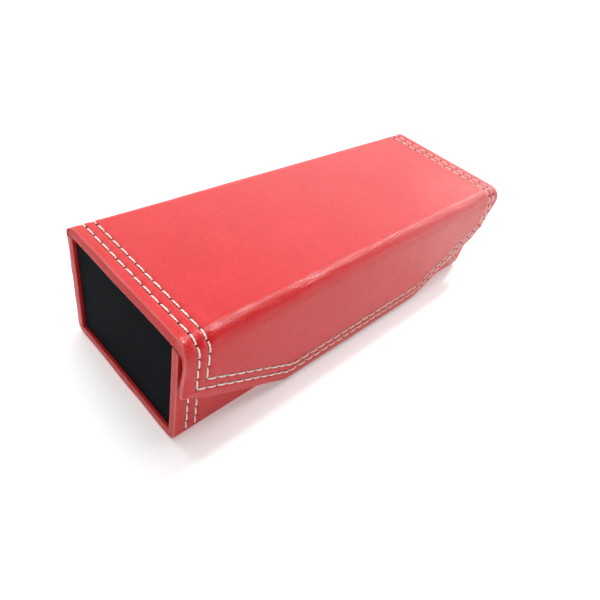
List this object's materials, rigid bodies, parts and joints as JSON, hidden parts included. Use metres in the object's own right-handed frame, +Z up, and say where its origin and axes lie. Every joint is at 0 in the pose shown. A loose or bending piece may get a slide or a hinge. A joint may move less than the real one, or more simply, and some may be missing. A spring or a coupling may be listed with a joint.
{
  "type": "eyeglasses case",
  "caption": "Rectangular hard eyeglasses case in stitched red leather-look wrap with set-in black ends, a back-hinged lid and a shaped magnetic front flap.",
  "frame": {"origin": "middle of the whole closed case, level with the flat face that it rests on", "axes": "+X along the case's length, -Y towards the flap (front), +Z up through the lid"},
  "size_m": [0.16, 0.0588, 0.043],
  "materials": {
    "red_leather": "smooth grained leather-look PU, soft gloss",
    "greyboard": "raw compressed greyboard",
    "black_end_fabric": "short-pile black flocked fabric",
    "black_lining": "short-pile black flannel",
    "magnet": "nickel-plated disc",
    "cream_thread": "twisted polyester sewing thread"
  },
  "bodies": {
    "tray": {"bottom_board": "greyboard", "front_board": "greyboard", "back_board": "greyboard", "left_end_board": "greyboard", "right_end_board": "greyboard", "tray_cover": "red_leather", "tray_lining": "black_lining", "left_end_cover": "black_end_fabric", "right_end_cover": "black_end_fabric", "front_magnets": "magnet", "tray_stitching": "cream_thread", "hinge_leather": "red_leather", "hinge_lining": "black_lining", "hinge_stitching": "cream_thread"},
    "lid": {"lid_board": "greyboard", "lid_cover": "red_leather", "lid_lining": "black_lining", "lid_stitching": "cream_thread", "fold_leather": "red_leather", "fold_lining": "black_lining", "fold_stitching": "cream_thread"},
    "flap": {"flap_board": "greyboard", "flap_cover": "red_leather", "flap_lining": "black_lining", "flap_magnets": "magnet", "flap_stitching": "cream_thread"}
  },
  "joints": [
    {"name": "lid_hinge", "type": "hinge", "parent": "tray", "child": "lid", "pos_m": [0, 0.02875, 0.03965], "axis": [-1, 0, 0], "range_deg": [0, 175], "deforming": ["hinge_leather", "hinge_lining", "hinge_stitching"]},
    {"name": "flap_hinge", "type": "hinge", "parent": "lid", "child": "flap", "pos_m": [0, -0.02769, 0.04129], "axis": [-1, 0, 0], "range_deg": [0, 90], "deforming": ["fold_leather", "fold_lining", "fold_stitching"]}
  ]
}
